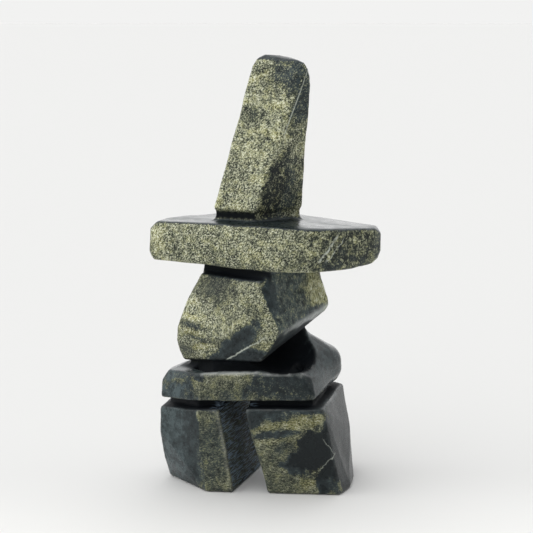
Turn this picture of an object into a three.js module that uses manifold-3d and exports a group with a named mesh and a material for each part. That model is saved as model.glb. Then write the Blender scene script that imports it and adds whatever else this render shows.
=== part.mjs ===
// Standing stone figure carved from one block of dark green serpentine: two legs, a hip slab,
// a wedge-shaped body, a long arm slab and a tall leaning head, parted by undercut necks.
// Millimetres, Z up, front towards -Y, soles on z = 0.
import * as THREE from 'three';
import { ConvexGeometry } from 'three/addons/geometries/ConvexGeometry.js';
import { mergeVertices } from 'three/addons/utils/BufferGeometryUtils.js';
import Module from 'manifold-3d';

const wasm = await Module();
wasm.setup();

// ---------------------------------------------------------------- driving dimensions
const HEIGHT = 219.8;       // soles to the crown of the head
const HEAD_EDGE = 1.5;      // rounding radius of the worn edges of each part
const ARM_EDGE = 2.5;
const BODY_EDGE = 2;
const SHOULDER_EDGE = 8.8;
const NECK_EDGE = 1;
const FLOOR_EDGE = 0.8;
const BALL_DETAIL = 1;      // subdivisions of the small ball that rounds a corner
const SCOOP_DETAIL = 5;     // subdivisions of a scooped hollow
const STONE_COLOUR = 0x4c5449;

// Corner points of each carved part. Every list is the part's outline before its edges are
// rounded outwards by the edge radius: x to the right, y away from the front, z up.
const HEAD = [
  [-24.8, -1, 143], [-6.2, -7.8, 143], [16.6, 9.5, 143], [9, 20, 143], [-17, 16, 143],   // foot
  [20.3, -1.5, 205], [17, 11, 205], [-2, 14, 209],                                       // shoulder
  [-5.8, 4.5, 213], [20, -2.6, 209.5], [19.2, -3.6, 212.4], [16, 10, 213],               // crown rim
  [-3.5, 5, 216.8], [-0.5, 6, 218.3], [6, 5, 218.2], [11.5, 3, 217.3],                   // crown
  [15, -2.6, 216.2], [17.9, -3.4, 214.9], [13, 10, 215.5], [0, 14, 215],
];
const ARMS = [
  [-54.5, 2, 133.5], [-51, 14, 133], [-40, 22, 133.2], [-26, 27, 133.2],                 // top, back left
  [17, 28, 132.8], [41, 16, 131.3], [55, 5, 130.3], [54.2, -1, 130.2],                   // top, back right
  [30.5, -21.5, 132.7], [18.5, -25.3, 133], [11, -24.5, 133.6],                          // top, front
  [-57, 3.5, 130.8], [-57.3, 3.5, 120.5], [-56, 2, 118.2],                               // left end
  [-50, 14, 119], [-40, 21, 118], [-26, 26, 117], [17, 26, 116], [41, 14, 116.5],        // underside, back
  [56.2, 2, 128.6], [56.2, 2, 121], [55, 2, 118], [52.4, -2.5, 116.7],                   // right end
  [44, -11, 115.7], [37, -17.5, 115.9], [27, -22, 115.6],                                // underside, front
  [12, -24.3, 115.5], [1, -21.5, 115.7], [-18, -12.5, 116.6],
];
const BODY = [
  [-32, 0, 107], [-4, -23.5, 107.3], [25, 6, 108], [18, 18, 108], [-22, 17, 107],        // top
  [-38.2, -2, 95.5], [-43.8, -3, 81], [-44.4, -3, 75],                                   // left edge
  [-43, -2, 69.5], [-41.2, -2, 65.8],
  [-3.8, -23.5, 97], [5.5, -24, 83.5], [0.2, -23.5, 74.2], [-3.5, -22.5, 69.5],          // front edge
  [30, 8, 94], [30.3, 8, 91], [29, 8, 89], [22, 18, 88],                                 // right edge
  [-29, -16, 68.5], [-34, 14, 68], [-5, 16, 68],                                         // underside
];
const HIPS = [
  [-52, -9, 47.5], [-50, 2, 47], [-40, 16, 48], [28, 25, 50], [36.2, 19, 50.6],          // underside
  [23, -24.5, 50.2], [17, -26, 50.2], [-33, -23.5, 49.5],
  [-51.8, -8, 54], [-49, -7, 58], [-48, 2, 57], [-40, 2, 59.5], [-34, 15, 60],           // top, left
  [-32, -22, 59.7], [-2, -24.8, 61.5], [16, -25.5, 61], [21, -22, 58],                   // top, front
  [12, 18, 66], [28, 16, 60], [36.8, 18, 54],                                            // top, right
];
const SHOULDER = [          // smooth swell of the hip slab's right end
  [15, -14.5, 57.4], [30.6, 16, 57.4], [30.3, 14, 60], [26.5, 10, 62.5], [17.3, 10, 68.2],
  [12, 14, 66], [19, -4, 60.6], [13, -10, 58.6], [0, 12, 60], [0, -8, 58],
];
const LEFT_LEG = [
  [-30, -23, 2], [-19, -24.3, 2], [-4, 22, 2], [-10, 25, 2], [-44, 20, 2], [-49, 4, 2],  // sole
  [-51.5, 0, 12], [-53, -4, 26],                                                         // outer flank
  [-34.5, -23, 41.5], [-25.7, -24, 41.8], [-9, 24, 41.8], [-42, 20, 40],                 // top
  [-49, 8, 39.5], [-52.5, -6, 38.5],
];
const RIGHT_LEG = [
  [2.6, -26, 2], [36, -28.7, 2], [41, -18, 2], [43.5, -2, 2], [43, 18, 2],               // sole
  [38, 25, 2], [20, 26, 2],
  [41.5, 4, 26],                                                                         // outer flank
  [-8.8, -26, 42.3], [27.5, -27, 42.6], [39, 18, 44.2], [36.4, 21, 44.4], [34, 24, 44],  // top
  [8, 24, 42],
];

// Necks: the outline of the undercut and the heights it spans inside the two stones it joins.
const HEAD_NECK = { low: 134, high: 144,
  outline: [[-24.6, 0.6], [-6, -6.8], [16, 9.5], [8, 18], [-16, 14.5]] };
const ARM_NECK = { low: 106, high: 117,
  outline: [[-31, 5], [0.6, -20.2], [24.7, 4.3], [17, 16.5], [-20, 15.5]] };
const LEFT_HIP_NECK = { low: 40, high: 50,
  outline: [[-48.8, -1], [-34, -18], [-24.4, -18], [-10.4, 19.5], [-39, 17], [-47.5, 7]] };
const RIGHT_HIP_NECK = { low: 40, high: 51,
  outline: [[-7.4, -20.5], [22.5, -21.5], [31.5, 12], [30, 20], [10, 20]] };
// The neck under the body rises to the right with the body's slanting underside.
const BODY_NECK = [
  [-37, -2, 58], [-27, -15.5, 58], [7, -16.5, 58], [20, 6, 58], [18, 15, 58], [-31, 11, 58],
  [-36, -2, 73], [-26, -13, 75], [1, -15, 80], [18.5, 6, 89], [16, 14, 89], [-30, 10, 73],
];

// Carved away: the floor behind the hip slab's front rim, the bowl under the body's right
// side, and a nick in the arm slab's lower right edge.
const FLOOR_CUT = { low: 59.4, high: 70,
  outline: [[-36, -10], [-30, -20.3], [-2, -22.3], [14.5, -23.2], [19, -8], [10, 6], [-32, 3]] };
const BOWL = { middle: [9, -14.5, 76], radii: [22, 21, 16.3] };
const NICK = { middle: [46.8, -11, 112.7], radii: [3.6, 5, 1.3] };

// ---------------------------------------------------------------- shape helpers

// Points of a small ball of the given radius, shared by every corner of a stone.
function ballPoints(radius) {
  const ball = mergeVertices(bare(new THREE.IcosahedronGeometry(radius, BALL_DETAIL)));
  const place = ball.getAttribute('position');
  return Array.from({ length: place.count }, (_, i) => new THREE.Vector3().fromBufferAttribute(place, i));
}

function bare(geometry) {
  geometry.deleteAttribute('normal');
  geometry.deleteAttribute('uv');
  return geometry;
}

// A closed three.js geometry as a solid that can be joined.
function solidOf(geometry) {
  const welded = mergeVertices(bare(geometry), 1e-4);
  const mesh = new wasm.Mesh({
    numProp: 3,
    vertProperties: new Float32Array(welded.getAttribute('position').array),
    triVerts: new Uint32Array(welded.getIndex().array),
  });
  mesh.merge();
  return new wasm.Manifold(mesh);
}

// A convex block with rounded edges: the hull of one small ball set on every corner.
function roundedBlock(corners, radius) {
  const ball = ballPoints(radius);
  const points = corners.flatMap((corner) => {
    const centre = new THREE.Vector3(...corner);
    return ball.map((offset) => offset.clone().add(centre));
  });
  return solidOf(new ConvexGeometry(points));
}

// An upright block with the given outline and rounded edges.
function prism({ outline, low, high }, radius) {
  return roundedBlock([low, high].flatMap((z) => outline.map(([x, y]) => [x, y, z])), radius);
}

// An egg-shaped volume that a hollow or nick is scooped out with.
function scoop({ middle, radii }) {
  return solidOf(new THREE.IcosahedronGeometry(1, SCOOP_DETAIL).scale(...radii).translate(...middle));
}

// ---------------------------------------------------------------- parts of the figure

function head() {
  return roundedBlock(HEAD, HEAD_EDGE).add(prism(HEAD_NECK, NECK_EDGE));
}

function arms() {
  return roundedBlock(ARMS, ARM_EDGE).subtract(scoop(NICK)).add(prism(ARM_NECK, NECK_EDGE));
}

function body() {
  return roundedBlock(BODY, BODY_EDGE);
}

function hips() {
  const slab = roundedBlock(HIPS, BODY_EDGE).add(roundedBlock(SHOULDER, SHOULDER_EDGE));
  return slab.subtract(prism(FLOOR_CUT, FLOOR_EDGE))
    .add(roundedBlock(BODY_NECK, NECK_EDGE))
    .subtract(scoop(BOWL));
}

function legs() {
  return roundedBlock(LEFT_LEG, BODY_EDGE).add(prism(LEFT_HIP_NECK, NECK_EDGE))
    .add(roundedBlock(RIGHT_LEG, BODY_EDGE))
    .add(prism(RIGHT_HIP_NECK, NECK_EDGE));
}

// The finished solid as one indexed geometry, its box centred over the origin.
function geometryOf(solid) {
  const mesh = solid.getMesh();
  const geometry = new THREE.BufferGeometry();
  geometry.setAttribute('position', new THREE.BufferAttribute(new Float32Array(mesh.vertProperties), 3));
  geometry.setIndex(new THREE.BufferAttribute(new Uint32Array(mesh.triVerts), 1));
  geometry.computeBoundingBox();
  const middle = geometry.boundingBox.getCenter(new THREE.Vector3());
  geometry.translate(-middle.x, -middle.y, HEIGHT / 2 - middle.z);
  geometry.computeVertexNormals();
  return geometry;
}

function carvedStone() {
  const solid = legs().add(hips()).add(body()).add(arms()).add(head());
  const material = new THREE.MeshStandardMaterial({
    color: STONE_COLOUR, roughness: 0.3, metalness: 0, flatShading: true,
  });
  material.name = 'polished serpentine';
  const mesh = new THREE.Mesh(geometryOf(solid), material);
  mesh.name = 'carved_stone';
  return mesh;
}

const group = new THREE.Group();
group.name = 'stone_figure';
group.add(carvedStone());

export default group;
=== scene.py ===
"""A standing stone figure carved from one block of polished dark green serpentine.

Two legs, a hip slab, a wedge body, a long arm slab and a tall leaning head, parted by undercut
necks. Lengths are in millimetres until a mesh is written, then in metres.
"""
import itertools
import logging
import math
from dataclasses import dataclass, field
from enum import Enum

import bmesh
import bpy
import numpy as np
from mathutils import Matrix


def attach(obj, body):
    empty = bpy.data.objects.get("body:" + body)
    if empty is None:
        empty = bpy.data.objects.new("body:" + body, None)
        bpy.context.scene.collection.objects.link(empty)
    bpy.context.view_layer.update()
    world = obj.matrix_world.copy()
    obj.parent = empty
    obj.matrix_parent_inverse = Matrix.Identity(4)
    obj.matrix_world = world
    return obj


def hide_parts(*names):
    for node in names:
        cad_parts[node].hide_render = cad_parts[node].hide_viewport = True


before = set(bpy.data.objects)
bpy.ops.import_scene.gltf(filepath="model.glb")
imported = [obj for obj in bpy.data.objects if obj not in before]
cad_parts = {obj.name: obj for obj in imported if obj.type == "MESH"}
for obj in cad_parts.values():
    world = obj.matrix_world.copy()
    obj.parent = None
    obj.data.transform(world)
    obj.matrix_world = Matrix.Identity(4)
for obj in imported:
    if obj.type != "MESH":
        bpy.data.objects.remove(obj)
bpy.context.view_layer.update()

MM = 0.001
FAR = 30.0      # field value given to points well away from a block
REACH = 7.0     # how far outside a block its exact distance is worked out
LOG = logging.getLogger("stone_figure")

Point = tuple[float, float, float]


# ------------------------------------------------------------------ field tools

def soft_min(a: np.ndarray, b: np.ndarray, blend: float) -> np.ndarray:
    """Smaller of two fields, rounded off where they are within `blend` of each other.

    Formula: min(a, b) - h^2 * blend / 4, with h = max(blend - |a - b|, 0) / blend.

    Args:
        a: First field values.
        b: Second field values.
        blend: Width of the rounding, mm.

    Returns:
        The joined field.
    """
    overlap = np.maximum(blend - np.abs(a - b), 0.0) / blend
    return np.minimum(a, b) - overlap * overlap * blend * 0.25


def soft_max(a: np.ndarray, b: np.ndarray, blend: float) -> np.ndarray:
    """Larger of two fields, rounded off as in soft_min."""
    return -soft_min(-a, -b, blend)


def ripple(points: np.ndarray, wavelength: float, seed: int, waves: int = 6) -> np.ndarray:
    """Smooth random swell: the mean of sine waves in random directions.

    Formula: sum of sin(k . p + phase) / sqrt(waves / 2), |k| near 2 pi / wavelength.

    Args:
        points: Positions, (n, 3).
        wavelength: Typical distance between crests, mm.
        seed: Seed of the random directions.
        waves: Number of waves added.

    Returns:
        Values around 0 with a spread near 1.
    """
    draw = np.random.default_rng(seed)
    ways = draw.normal(size=(waves, 3))
    ways /= np.linalg.norm(ways, axis=1, keepdims=True)
    ways *= 2.0 * math.pi / wavelength * draw.uniform(0.7, 1.4, (waves, 1))
    phase = draw.uniform(0.0, 2.0 * math.pi, waves)
    return np.sin(points @ ways.T + phase).sum(1) / math.sqrt(waves / 2.0)


def ramp(values: np.ndarray, low: float, high: float) -> np.ndarray:
    """Smooth step from 0 at `low` to 1 at `high`: t * t * (3 - 2 t)."""
    t = np.clip((values - low) / (high - low), 0.0, 1.0)
    return t * t * (3.0 - 2.0 * t)


def fall(values: np.ndarray, low: float, high: float) -> np.ndarray:
    """Smooth step from 1 at `low` down to 0 at `high`: 1 - ramp."""
    return 1.0 - ramp(values, low, high)


@dataclass(frozen=True)
class Swell:
    """A random swell of the given height, from a ripple with its own seed."""

    height: float
    wavelength: float       # mm
    seed: int
    waves: int = 6

    def __call__(self, points: np.ndarray) -> np.ndarray:
        """The swell at points in mm."""
        return self.height * ripple(points, self.wavelength, self.seed, self.waves)


@dataclass(frozen=True)
class Band:
    """A band of heights with soft ends, mm."""

    start: float
    full: float
    fading: float
    end: float

    def __call__(self, z: np.ndarray) -> np.ndarray:
        """1 inside the band, 0 outside: ramp up times ramp down."""
        return ramp(z, self.start, self.full) * fall(z, self.fading, self.end)


@dataclass(frozen=True)
class Block:
    """A convex carved part: outline corners before rounding, and the radius of its worn edges."""

    corners: tuple[Point, ...]
    edge: float
    crisp: float = 0.3      # 0 rounds an edge fully, 1 leaves it sharp

    @property
    def low(self) -> np.ndarray:
        """Lowest corner of the rounded block's box."""
        return np.min(self.corners, axis=0) - self.edge

    @property
    def high(self) -> np.ndarray:
        """Highest corner of the rounded block's box."""
        return np.max(self.corners, axis=0) + self.edge


def prism(outline: tuple[tuple[float, float], ...], low: float, high: float, edge: float) -> Block:
    """An upright block with the given outline.

    Args:
        outline: Corners seen from above.
        low: Height of the lower ring of corners.
        high: Height of the upper ring.
        edge: Rounding radius.

    Returns:
        The block.
    """
    return Block(tuple((x, y, z) for z in (low, high) for x, y in outline), edge)


class BlockField:
    """Distance to a Block: negative inside, exact outside up to REACH.

    Formula: outside the inner hull, the least distance to its faces and edges mixed with the
    largest signed distance to its planes; inside, the planes alone; less the edge radius.
    """

    def __init__(self, block: Block) -> None:
        """Works out the hull's faces, planes and edges.

        Args:
            block: The block.
        """
        self.block = block
        hull = bmesh.new()
        verts = [hull.verts.new(corner) for corner in block.corners]
        bmesh.ops.convex_hull(hull, input=verts, use_existing_faces=False)
        bmesh.ops.triangulate(hull, faces=hull.faces)
        hull.verts.index_update()
        faces = [[v.index for v in face.verts] for face in hull.faces]
        edges = [[v.index for v in edge.verts] for edge in hull.edges if edge.link_faces]
        spots = np.array([v.co for v in hull.verts], float)
        hull.free()
        self.faces = spots[np.array(faces)]
        self.edges = spots[np.array(edges)]
        normals = np.cross(self.faces[:, 1] - self.faces[:, 0], self.faces[:, 2] - self.faces[:, 0])
        normals /= np.linalg.norm(normals, axis=1, keepdims=True)
        outward = ((self.faces[:, 0] - spots.mean(0)) * normals).sum(1) < 0
        normals[outward] *= -1.0
        self.normals = normals
        self.offsets = (self.faces[:, 0] * normals).sum(1)

    def __call__(self, points: np.ndarray) -> np.ndarray:
        """Field values at points.

        Args:
            points: Positions, mm.

        Returns:
            Distances, mm, and FAR where a point is well away from the block.
        """
        values = np.full(len(points), FAR)
        near = ((points > self.block.low - REACH) & (points < self.block.high + REACH)).all(1)
        spots = points[near]
        heights = spots @ self.normals.T - self.offsets
        found = heights.max(1)
        outside = (found > 0.0) & (found < REACH + self.block.edge)
        crisp = self.block.crisp
        found[outside] *= crisp
        found[outside] += (1.0 - crisp) * self._distance(spots[outside], heights[outside])
        values[near] = found - self.block.edge
        return values

    def _distance(self, spots: np.ndarray, heights: np.ndarray) -> np.ndarray:
        """Distance from outside points to the sharp hull.

        Args:
            spots: Points outside the hull, (n, 3).
            heights: Their signed distances to the face planes, (n, faces).

        Returns:
            Distances, mm.
        """
        best = np.full(len(spots), np.inf)
        for start, end in self.edges:
            along = end - start
            share = np.clip((spots - start) @ along / (along @ along), 0.0, 1.0)
            gap = spots - start - share[:, None] * along
            best = np.minimum(best, np.einsum("ij,ij->i", gap, gap))
        for corners, normal, height in zip(self.faces, self.normals, heights.T):
            over = height > 0.0
            middle = corners.mean(0)
            for start, end in zip(corners, np.roll(corners, -1, axis=0)):
                side = np.cross(normal, end - start)
                side *= np.sign(side @ (middle - start))
                over &= (spots - start) @ side >= 0.0
            best[over] = np.minimum(best[over], height[over] ** 2)
        return np.sqrt(best)


# ------------------------------------------------------------------ the figure's outline

HEAD = Block((
    (-24.8, -1, 143), (-6.2, -7.8, 143), (16.6, 9.5, 143), (9, 20, 143), (-17, 16, 143),
    (20.3, -1.5, 205), (17, 11, 205), (-2, 14, 209),
    (-5.8, 4.5, 213), (20.0, -2.6, 209.5), (19.2, -3.6, 212.4), (16, 10, 213),
    (-3.5, 5, 216.8), (-0.5, 6, 218.3), (6, 5, 218.2), (11.5, 3, 217.3), (15.0, -2.6, 216.2),
    (17.9, -3.4, 214.9), (13, 10, 215.5), (0, 14, 215)), 1.5, 0.1)
ARMS = Block((
    (-54.5, 2, 133.5), (-51, 14, 133), (-40, 22, 133.2), (-26, 27, 133.2),
    (17, 28, 132.8), (41, 16, 131.3), (55, 5, 130.3), (54.2, -1, 130.2),
    (30.5, -21.5, 132.7), (18.5, -25.3, 133), (11, -24.5, 133.6),
    (-57, 3.5, 130.8), (-57.3, 3.5, 120.5), (-56, 2, 118.2),
    (-50, 14, 119), (-40, 21, 118), (-26, 26, 117), (17, 26, 116), (41, 14, 116.5),
    (56.2, 2, 128.6), (56.2, 2, 121.0), (55, 2, 118.0), (52.4, -2.5, 116.7),
    (44, -11, 115.7), (37, -17.5, 115.9), (27, -22, 115.6),
    (12, -24.3, 115.5), (1, -21.5, 115.7), (-18, -12.5, 116.6)), 2.5)
BODY = Block((
    (-32, 0, 107), (-4, -23.5, 107.3), (25, 6, 108), (18, 18, 108), (-22, 17, 107),
    (-38.2, -2, 95.5), (-43.8, -3, 81), (-44.4, -3, 75), (-43, -2, 69.5), (-41.2, -2, 65.8),
    (-3.8, -23.5, 97), (5.5, -24, 83.5), (0.2, -23.5, 74.2), (-3.5, -22.5, 69.5),
    (30, 8, 94), (30.3, 8, 91), (29, 8, 89), (22, 18, 88),
    (-29, -16, 68.5), (-34, 14, 68), (-5, 16, 68)), 2.0)
HIPS = Block((
    (-52, -9, 47.5), (-50, 2, 47), (-40, 16, 48), (28, 25, 50), (36.2, 19, 50.6),
    (23, -24.5, 50.2), (17, -26, 50.2), (-33, -23.5, 49.5),
    (-51.8, -8, 54), (-49, -7, 58), (-48, 2, 57), (-40, 2, 59.5), (-34, 15, 60),
    (-32, -22, 59.7), (-2, -24.8, 61.5), (16, -25.5, 61), (21, -22, 58),
    (12, 18, 66), (28, 16, 60), (36.8, 18, 54)), 2.0)
SHOULDER = Block((                      # the hip slab's smooth right end, rising to the neck
    (15.0, -14.5, 57.4), (30.6, 16, 57.4), (30.3, 14, 60), (26.5, 10, 62.5), (17.3, 10, 68.2),
    (12, 14, 66), (19, -4, 60.6), (13, -10, 58.6), (0, 12, 60), (0, -8, 58)), 8.8, 0.0)
LEFT_LEG = Block((
    (-30, -23, 2), (-19, -24.3, 2), (-4, 22, 2), (-10, 25, 2), (-44, 20, 2), (-49, 4, 2),
    (-51.5, 0, 12), (-53, -4, 26),
    (-34.5, -23, 41.5), (-25.7, -24, 41.8), (-9, 24, 41.8), (-42, 20, 40),
    (-49, 8, 39.5), (-52.5, -6, 38.5)), 2.0)
RIGHT_LEG = Block((
    (2.6, -26, 2), (36, -28.7, 2), (41, -18, 2), (43.5, -2, 2), (43, 18, 2),
    (38, 25, 2), (20, 26, 2), (41.5, 4, 26),
    (-8.8, -26, 42.3), (27.5, -27, 42.6), (39.0, 18, 44.2), (36.4, 21, 44.4), (34, 24, 44),
    (8, 24, 42)), 2.0)
HEAD_NECK = prism(((-24.6, 0.6), (-6.0, -6.8), (16.0, 9.5), (8, 18), (-16, 14.5)), 134, 144, 1.0)
ARM_NECK = prism(((-31, 5), (0.6, -20.2), (24.7, 4.3), (17, 16.5), (-20, 15.5)), 106, 117, 1.0)
LEFT_HIP_NECK = prism(
    ((-48.8, -1), (-34, -18), (-24.4, -18), (-10.4, 19.5), (-39, 17), (-47.5, 7)), 40, 50, 1.0)
RIGHT_HIP_NECK = prism(((-7.4, -20.5), (22.5, -21.5), (31.5, 12), (30, 20), (10, 20)), 40, 51, 1.0)
BODY_NECK = Block((
    (-37, -2, 58), (-27, -15.5, 58), (7, -16.5, 58), (20, 6, 58), (18, 15, 58), (-31, 11, 58),
    (-36, -2, 73), (-26, -13, 75), (1, -15, 80), (18.5, 6, 89), (16, 14, 89), (-30, 10, 73)), 1.0)
FLOOR_CUT = prism(
    ((-36, -10), (-30, -20.3), (-2, -22.3), (14.5, -23.2), (19, -8), (10, 6), (-32, 3)), 59.4, 70, 0.8)


class Carving:
    """The whole figure as one field, with its fillets, waviness, gouge, chips and rasp marks."""

    head_blend = 1.6        # roundings where necks meet the parts above and below, mm
    shoulder_blend = 3.2
    body_blend = 4.0
    slab_blend = 3.0
    hip_blend = 5.0
    leg_blend = 1.8
    hollow_blend = 1.5
    join_blend = 0.8
    chip_edge = 0.4         # roundings of the edges left by carved-away volumes, mm
    floor_edge = 1.0
    gouge_edge = 1.2
    swell = 0.16            # hand-carved waviness of the whole outline
    swells = ((26.0, 0.8, (11, 12, 13)), (9.0, 0.12, (21, 22, 23)))  # wavelength, share, seeds
    gouge_middle: Point = (9.0, -14.5, 76.0)
    gouge_radii: Point = (22.0, 21.0, 16.3)
    chip_middle: Point = (46.8, -11.0, 112.7)       # nick in the arm slab's lower right edge
    chip_radii: Point = (3.6, 5.0, 1.3)
    gap_middle = -0.3       # x of the leg gap's middle, at mid depth and the soles' edge
    gap_turn = 0.33         # its way to the right for each mm towards the back
    gap_lean = 0.2          # and to the left for each mm of height above gap_foot
    gap_foot = 2.0
    gap_half = (10.5, 12.5)         # half width, height and half depth of the rasped zone, each
    gap_top = (44.5, 46.5)          # as the ends of its soft border
    gap_depth = (23.0, 26.0)
    rasp_pitch = 1.35       # spacing of the rasp strokes inside the leg gap
    rasp_depth = 0.3
    rasp_rise = 0.14        # climb of a stroke for each mm of its length
    rasp_way = (0.33, 0.94)         # how x and y add up to a stroke's length
    rasp_bend = Swell(0.9, 9.0, 31)
    rasp_wear = Swell(0.35, 7.0, 32)

    def __init__(self) -> None:
        """Prepares each part's field and the shift that centres the figure on the origin."""
        self.parts = {name: BlockField(block) for name, block in {
            "head": HEAD, "arms": ARMS, "body": BODY, "hips": HIPS, "shoulder": SHOULDER,
            "floor_cut": FLOOR_CUT, "left_leg": LEFT_LEG, "right_leg": RIGHT_LEG,
            "head_neck": HEAD_NECK, "arm_neck": ARM_NECK, "body_neck": BODY_NECK,
            "left_hip_neck": LEFT_HIP_NECK, "right_hip_neck": RIGHT_HIP_NECK}.items()}
        blocks = [part.block for part in self.parts.values()]
        self.low = np.min([block.low for block in blocks], axis=0)
        self.high = np.max([block.high for block in blocks], axis=0)
        middle = (self.low + self.high) / 2.0
        self.shift = np.array([-middle[0], -middle[1], 0.0])

    def waver(self, points: np.ndarray) -> np.ndarray:
        """Points moved by a slow swell, so that no edge is ruler straight.

        Formula: p + swell * (ripple_x, ripple_y, ripple_z), with the upward part fading to
        nothing at the soles.

        Args:
            points: Positions, mm.

        Returns:
            The moved positions.
        """
        upward = ramp(points[:, 2], 2.0, 20.0)
        total = np.zeros_like(points)
        for wavelength, share, seeds in self.swells:
            move = np.stack([ripple(points, wavelength, seed) for seed in seeds], axis=1)
            move[:, 2] *= upward
            total += share * move
        return points + self.swell * total

    def egg(self, p: np.ndarray, middle: Point, radii: Point) -> np.ndarray:
        """Approximate distance to an ellipsoid, used for scooped and chipped places.

        Formula: (|q / r| - 1) * smallest r, with q measured from the ellipsoid's middle.
        """
        far = np.linalg.norm((p - np.array(middle)) / np.array(radii), axis=1)
        return (far - 1.0) * min(radii)

    def gouge(self, p: np.ndarray) -> np.ndarray:
        """Scooped hollow between body and hip slab."""
        return self.egg(p, self.gouge_middle, self.gouge_radii)

    def rasp_zone(self, points: np.ndarray) -> np.ndarray:
        """1 on the two walls of the leg gap, fading to 0 around them.

        Args:
            points: Positions, mm.

        Returns:
            Strength from 0 to 1.
        """
        x, y, z = points.T
        middle = self.gap_middle + self.gap_turn * y - self.gap_lean * (z - self.gap_foot)
        inside = fall(np.abs(x - middle), *self.gap_half)
        return inside * fall(z, *self.gap_top) * fall(np.abs(y), *self.gap_depth)

    def rasp(self, points: np.ndarray) -> np.ndarray:
        """Height of the rasp strokes, mm: sharp-backed ridges nearly level along the gap.

        Formula: depth * (1 - |sin(pi * level / pitch)|) where the level is the height bent by
        slow ripples, so that strokes start, stop and cross.

        Args:
            points: Positions, mm.

        Returns:
            Heights of the strokes, mm.
        """
        along = self.rasp_way[1] * points[:, 1] + self.rasp_way[0] * points[:, 0]
        level = points[:, 2] - self.rasp_rise * along
        level += self.rasp_bend(points * (1.0, 0.35, 1.0))
        ridge = 1.0 - np.abs(np.sin(math.pi * level / self.rasp_pitch))
        strength = 0.65 + self.rasp_wear(points * (1.0, 0.5, 1.6))
        return self.rasp_depth * ridge * np.clip(strength, 0.1, 1.3)

    def __call__(self, points: np.ndarray, marks: bool = False) -> np.ndarray:
        """Field values of the whole figure.

        Args:
            points: Positions in mm, in the outline's own axes.
            marks: Whether the rasp strokes are added.

        Returns:
            Values below 0 inside the stone.
        """
        p = self.waver(points)
        f = {name: part(p) for name, part in self.parts.items()}
        head = soft_min(f["head"], f["head_neck"], self.head_blend)
        body = soft_min(f["body"], f["arm_neck"], self.body_blend)
        chipped = soft_max(f["arms"], -self.egg(p, self.chip_middle, self.chip_radii), self.chip_edge)
        arms = soft_min(chipped, head, self.shoulder_blend)
        upper = soft_min(arms, body, self.head_blend)
        slab = soft_min(f["hips"], f["shoulder"], self.slab_blend)
        slab = soft_max(slab, -f["floor_cut"], self.floor_edge)
        slab = soft_min(slab, f["body_neck"], self.hip_blend)
        upper = soft_min(upper, soft_max(slab, -self.gouge(p), self.gouge_edge), self.hollow_blend)
        legs = np.minimum(soft_min(f["left_leg"], f["left_hip_neck"], self.leg_blend),
                          soft_min(f["right_leg"], f["right_hip_neck"], self.leg_blend))
        stone = soft_min(upper, legs, self.join_blend)
        if marks:
            stone = stone + self.rasp_zone(points) * self.rasp(points)
        return stone


# ------------------------------------------------------------------ surface from a field

def surface_net(values: np.ndarray, origin: np.ndarray, step: float) -> tuple[np.ndarray, np.ndarray]:
    """Quads around the zero level of a sampled field.

    Formula: one vertex in each cell the surface crosses, at the mean of the crossings on the
    cell's edges; one quad across each grid edge that the surface crosses.

    Args:
        values: Samples, (nx, ny, nz).
        origin: Position of the first sample.
        step: Grid spacing.

    Returns:
        Vertex positions (n, 3) and quads (m, 4), facing outwards.
    """
    inside = values < 0.0
    shape = np.array(values.shape) - 1
    cut = [slice(0, -1), slice(1, None)]
    count = sum(inside[cut[i], cut[j], cut[k]].astype(np.int8)
                for i, j, k in itertools.product((0, 1), repeat=3))
    active = (count > 0) & (count < 8)
    cells = np.argwhere(active)
    number = np.full(shape, -1, np.int64)
    number[active] = np.arange(len(cells))
    total = np.zeros((len(cells), 3))
    crossings = np.zeros(len(cells))
    for axis in range(3):
        across = [a for a in range(3) if a != axis]
        for i, j in itertools.product((0, 1), repeat=2):
            start = cells.copy()
            start[:, across[0]] += i
            start[:, across[1]] += j
            end = start.copy()
            end[:, axis] += 1
            a, b = values[tuple(start.T)], values[tuple(end.T)]
            crossed = (a < 0.0) != (b < 0.0)
            share = np.where(crossed, a / np.where(crossed, a - b, 1.0), 0.0)
            spot = start.astype(float)
            spot[:, axis] += share
            total[crossed] += spot[crossed]
            crossings += crossed
    points = origin + step * total / crossings[:, None]
    quads = []
    for axis in range(3):
        one, two = (axis + 1) % 3, (axis + 2) % 3
        span = [slice(1, -1)] * 3
        span[axis] = slice(0, -1)
        onward = list(span)
        onward[axis] = slice(1, None)
        first, second = inside[tuple(span)], inside[tuple(onward)]
        where = np.argwhere(first != second)
        keep = first[tuple(where.T)]
        base = where + np.array([0 if a == axis else 1 for a in range(3)])
        ring = []
        for i, j in ((1, 1), (0, 1), (0, 0), (1, 0)):
            cell = base.copy()
            cell[:, one] -= i
            cell[:, two] -= j
            ring.append(number[tuple(cell.T)])
        quad = np.stack(ring, axis=1)
        quad[~keep] = quad[~keep][:, ::-1]
        quads.append(quad)
    return points, np.concatenate(quads)


def slope(stone: Carving, points: np.ndarray, marks: bool, gap: float = 0.08) -> np.ndarray:
    """Gradient of the field.

    Formula: central differences over `gap` along each axis.

    Args:
        stone: The field.
        points: Positions, mm.
        marks: Whether the rasp strokes are part of the surface.
        gap: Distance to each side, mm.

    Returns:
        Gradients, (n, 3).
    """
    parts = []
    for axis in range(3):
        move = np.zeros(3)
        move[axis] = gap
        parts.append((stone(points + move, marks) - stone(points - move, marks)) / (2.0 * gap))
    return np.stack(parts, axis=1)


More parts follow.
